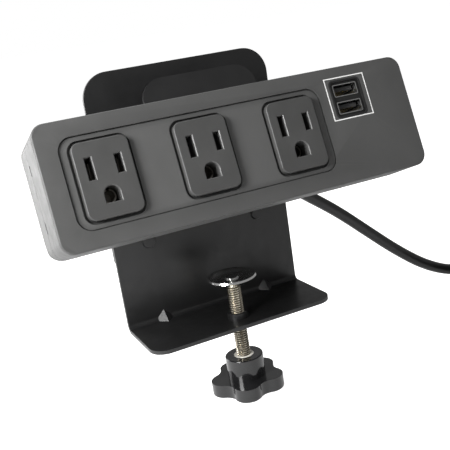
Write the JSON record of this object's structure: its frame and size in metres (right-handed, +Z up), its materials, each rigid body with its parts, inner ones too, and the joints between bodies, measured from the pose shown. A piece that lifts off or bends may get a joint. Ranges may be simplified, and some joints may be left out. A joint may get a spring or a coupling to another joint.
{
  "type": "desk power strip",
  "caption": "Power strip with grounded outlets and stacked USB ports on a folded steel desk clamp with a screw, a swivel pad and a star knob, with cord and plug.",
  "frame": {"origin": "on the clamp screw's axis, at the underside of the upper jaw, which rests on the desk", "axes": "+X along the strip, to the right as its user sees it; +Y towards the back; +Z up, along the clamp screw"},
  "size_m": [0.4116, 0.1366, 0.1953],
  "materials": {
    "housing_plastic": "fine mould texture, matte",
    "outlet_plastic": "fine mould texture, matte",
    "usb_plastic": "satin",
    "usb_steel": "bright stamped steel",
    "contact_brass": "stamped brass",
    "board_laminate": "green board",
    "component_case": "moulded",
    "varistor_coating": "dipped epoxy",
    "fastener_steel": "black zinc",
    "bracket_steel": "satin black powder coat",
    "screw_nickel": "nickel plated",
    "pad_chrome": "polished",
    "knob_plastic": "gloss black moulding",
    "insert_plastic": "satin cream",
    "cord_jacket": "satin black jacket",
    "tie_strap": "woven hook and loop",
    "black_wire": "insulation",
    "white_wire": "insulation",
    "green_wire": "insulation"
  },
  "bodies": {
    "root": {"bracket_rivets": "bracket_steel", "bracket_screws": "fastener_steel", "clamp_bracket": "bracket_steel", "cord_coil": "cord_jacket", "cord_tail": "cord_jacket", "cord_tie": "tie_strap", "front_cover": "housing_plastic", "ground_contacts": "contact_brass", "ground_core": "green_wire", "housing_screws": "fastener_steel", "line_contacts": "contact_brass", "line_core": "black_wire", "neutral_contacts": "contact_brass", "neutral_core": "white_wire", "outlet_face_1": "outlet_plastic", "outlet_face_2": "outlet_plastic", "outlet_face_3": "outlet_plastic", "plug_blade_line": "contact_brass", "plug_blade_neutral": "contact_brass", "plug_body": "cord_jacket", "plug_ground_pin": "contact_brass", "power_cord": "cord_jacket", "rear_housing": "housing_plastic", "rear_plate": "bracket_steel", "strain_relief": "cord_jacket", "surge_board": "board_laminate", "surge_leads": "white_wire", "thermal_fuse": "component_case", "usb_bezel": "usb_plastic", "usb_board": "board_laminate", "usb_capacitor": "component_case", "usb_lead_line": "black_wire", "usb_lead_neutral": "white_wire", "usb_shell_lower": "usb_steel", "usb_shell_upper": "usb_steel", "usb_tongue_lower": "usb_plastic", "usb_tongue_upper": "usb_plastic", "usb_transformer": "component_case", "varistor_1": "varistor_coating", "varistor_2": "varistor_coating", "varistor_3": "varistor_coating"},
    "pad_rivet": {"pad_rivet": "pad_chrome"},
    "screw": {"clamp_screw": "screw_nickel", "knob": "knob_plastic", "knob_insert": "insert_plastic"},
    "swivel_pad": {"swivel_pad": "pad_chrome"}
  },
  "joints": [
    {"name": "clamp_travel", "type": "slide", "parent": "root", "child": "pad_rivet", "axis": [0, 0, 1], "range_m": [-0.015, 0.0185]},
    {"name": "screw_turn", "type": "hinge", "parent": "pad_rivet", "child": "screw", "pos_m": [0, 0, -0.0462], "axis": [0, 0, 1], "range_deg": [-4322, 5330]},
    {"name": "pad_tilt", "type": "hinge", "parent": "pad_rivet", "child": "swivel_pad", "pos_m": [0, 0, -0.038], "axis": [1, 0, 0], "range_deg": [-5, 5]}
  ],
  "couplings": [
    {"joint": "screw_turn", "follows": "clamp_travel", "rad_per_m": 5026.5}
  ]
}
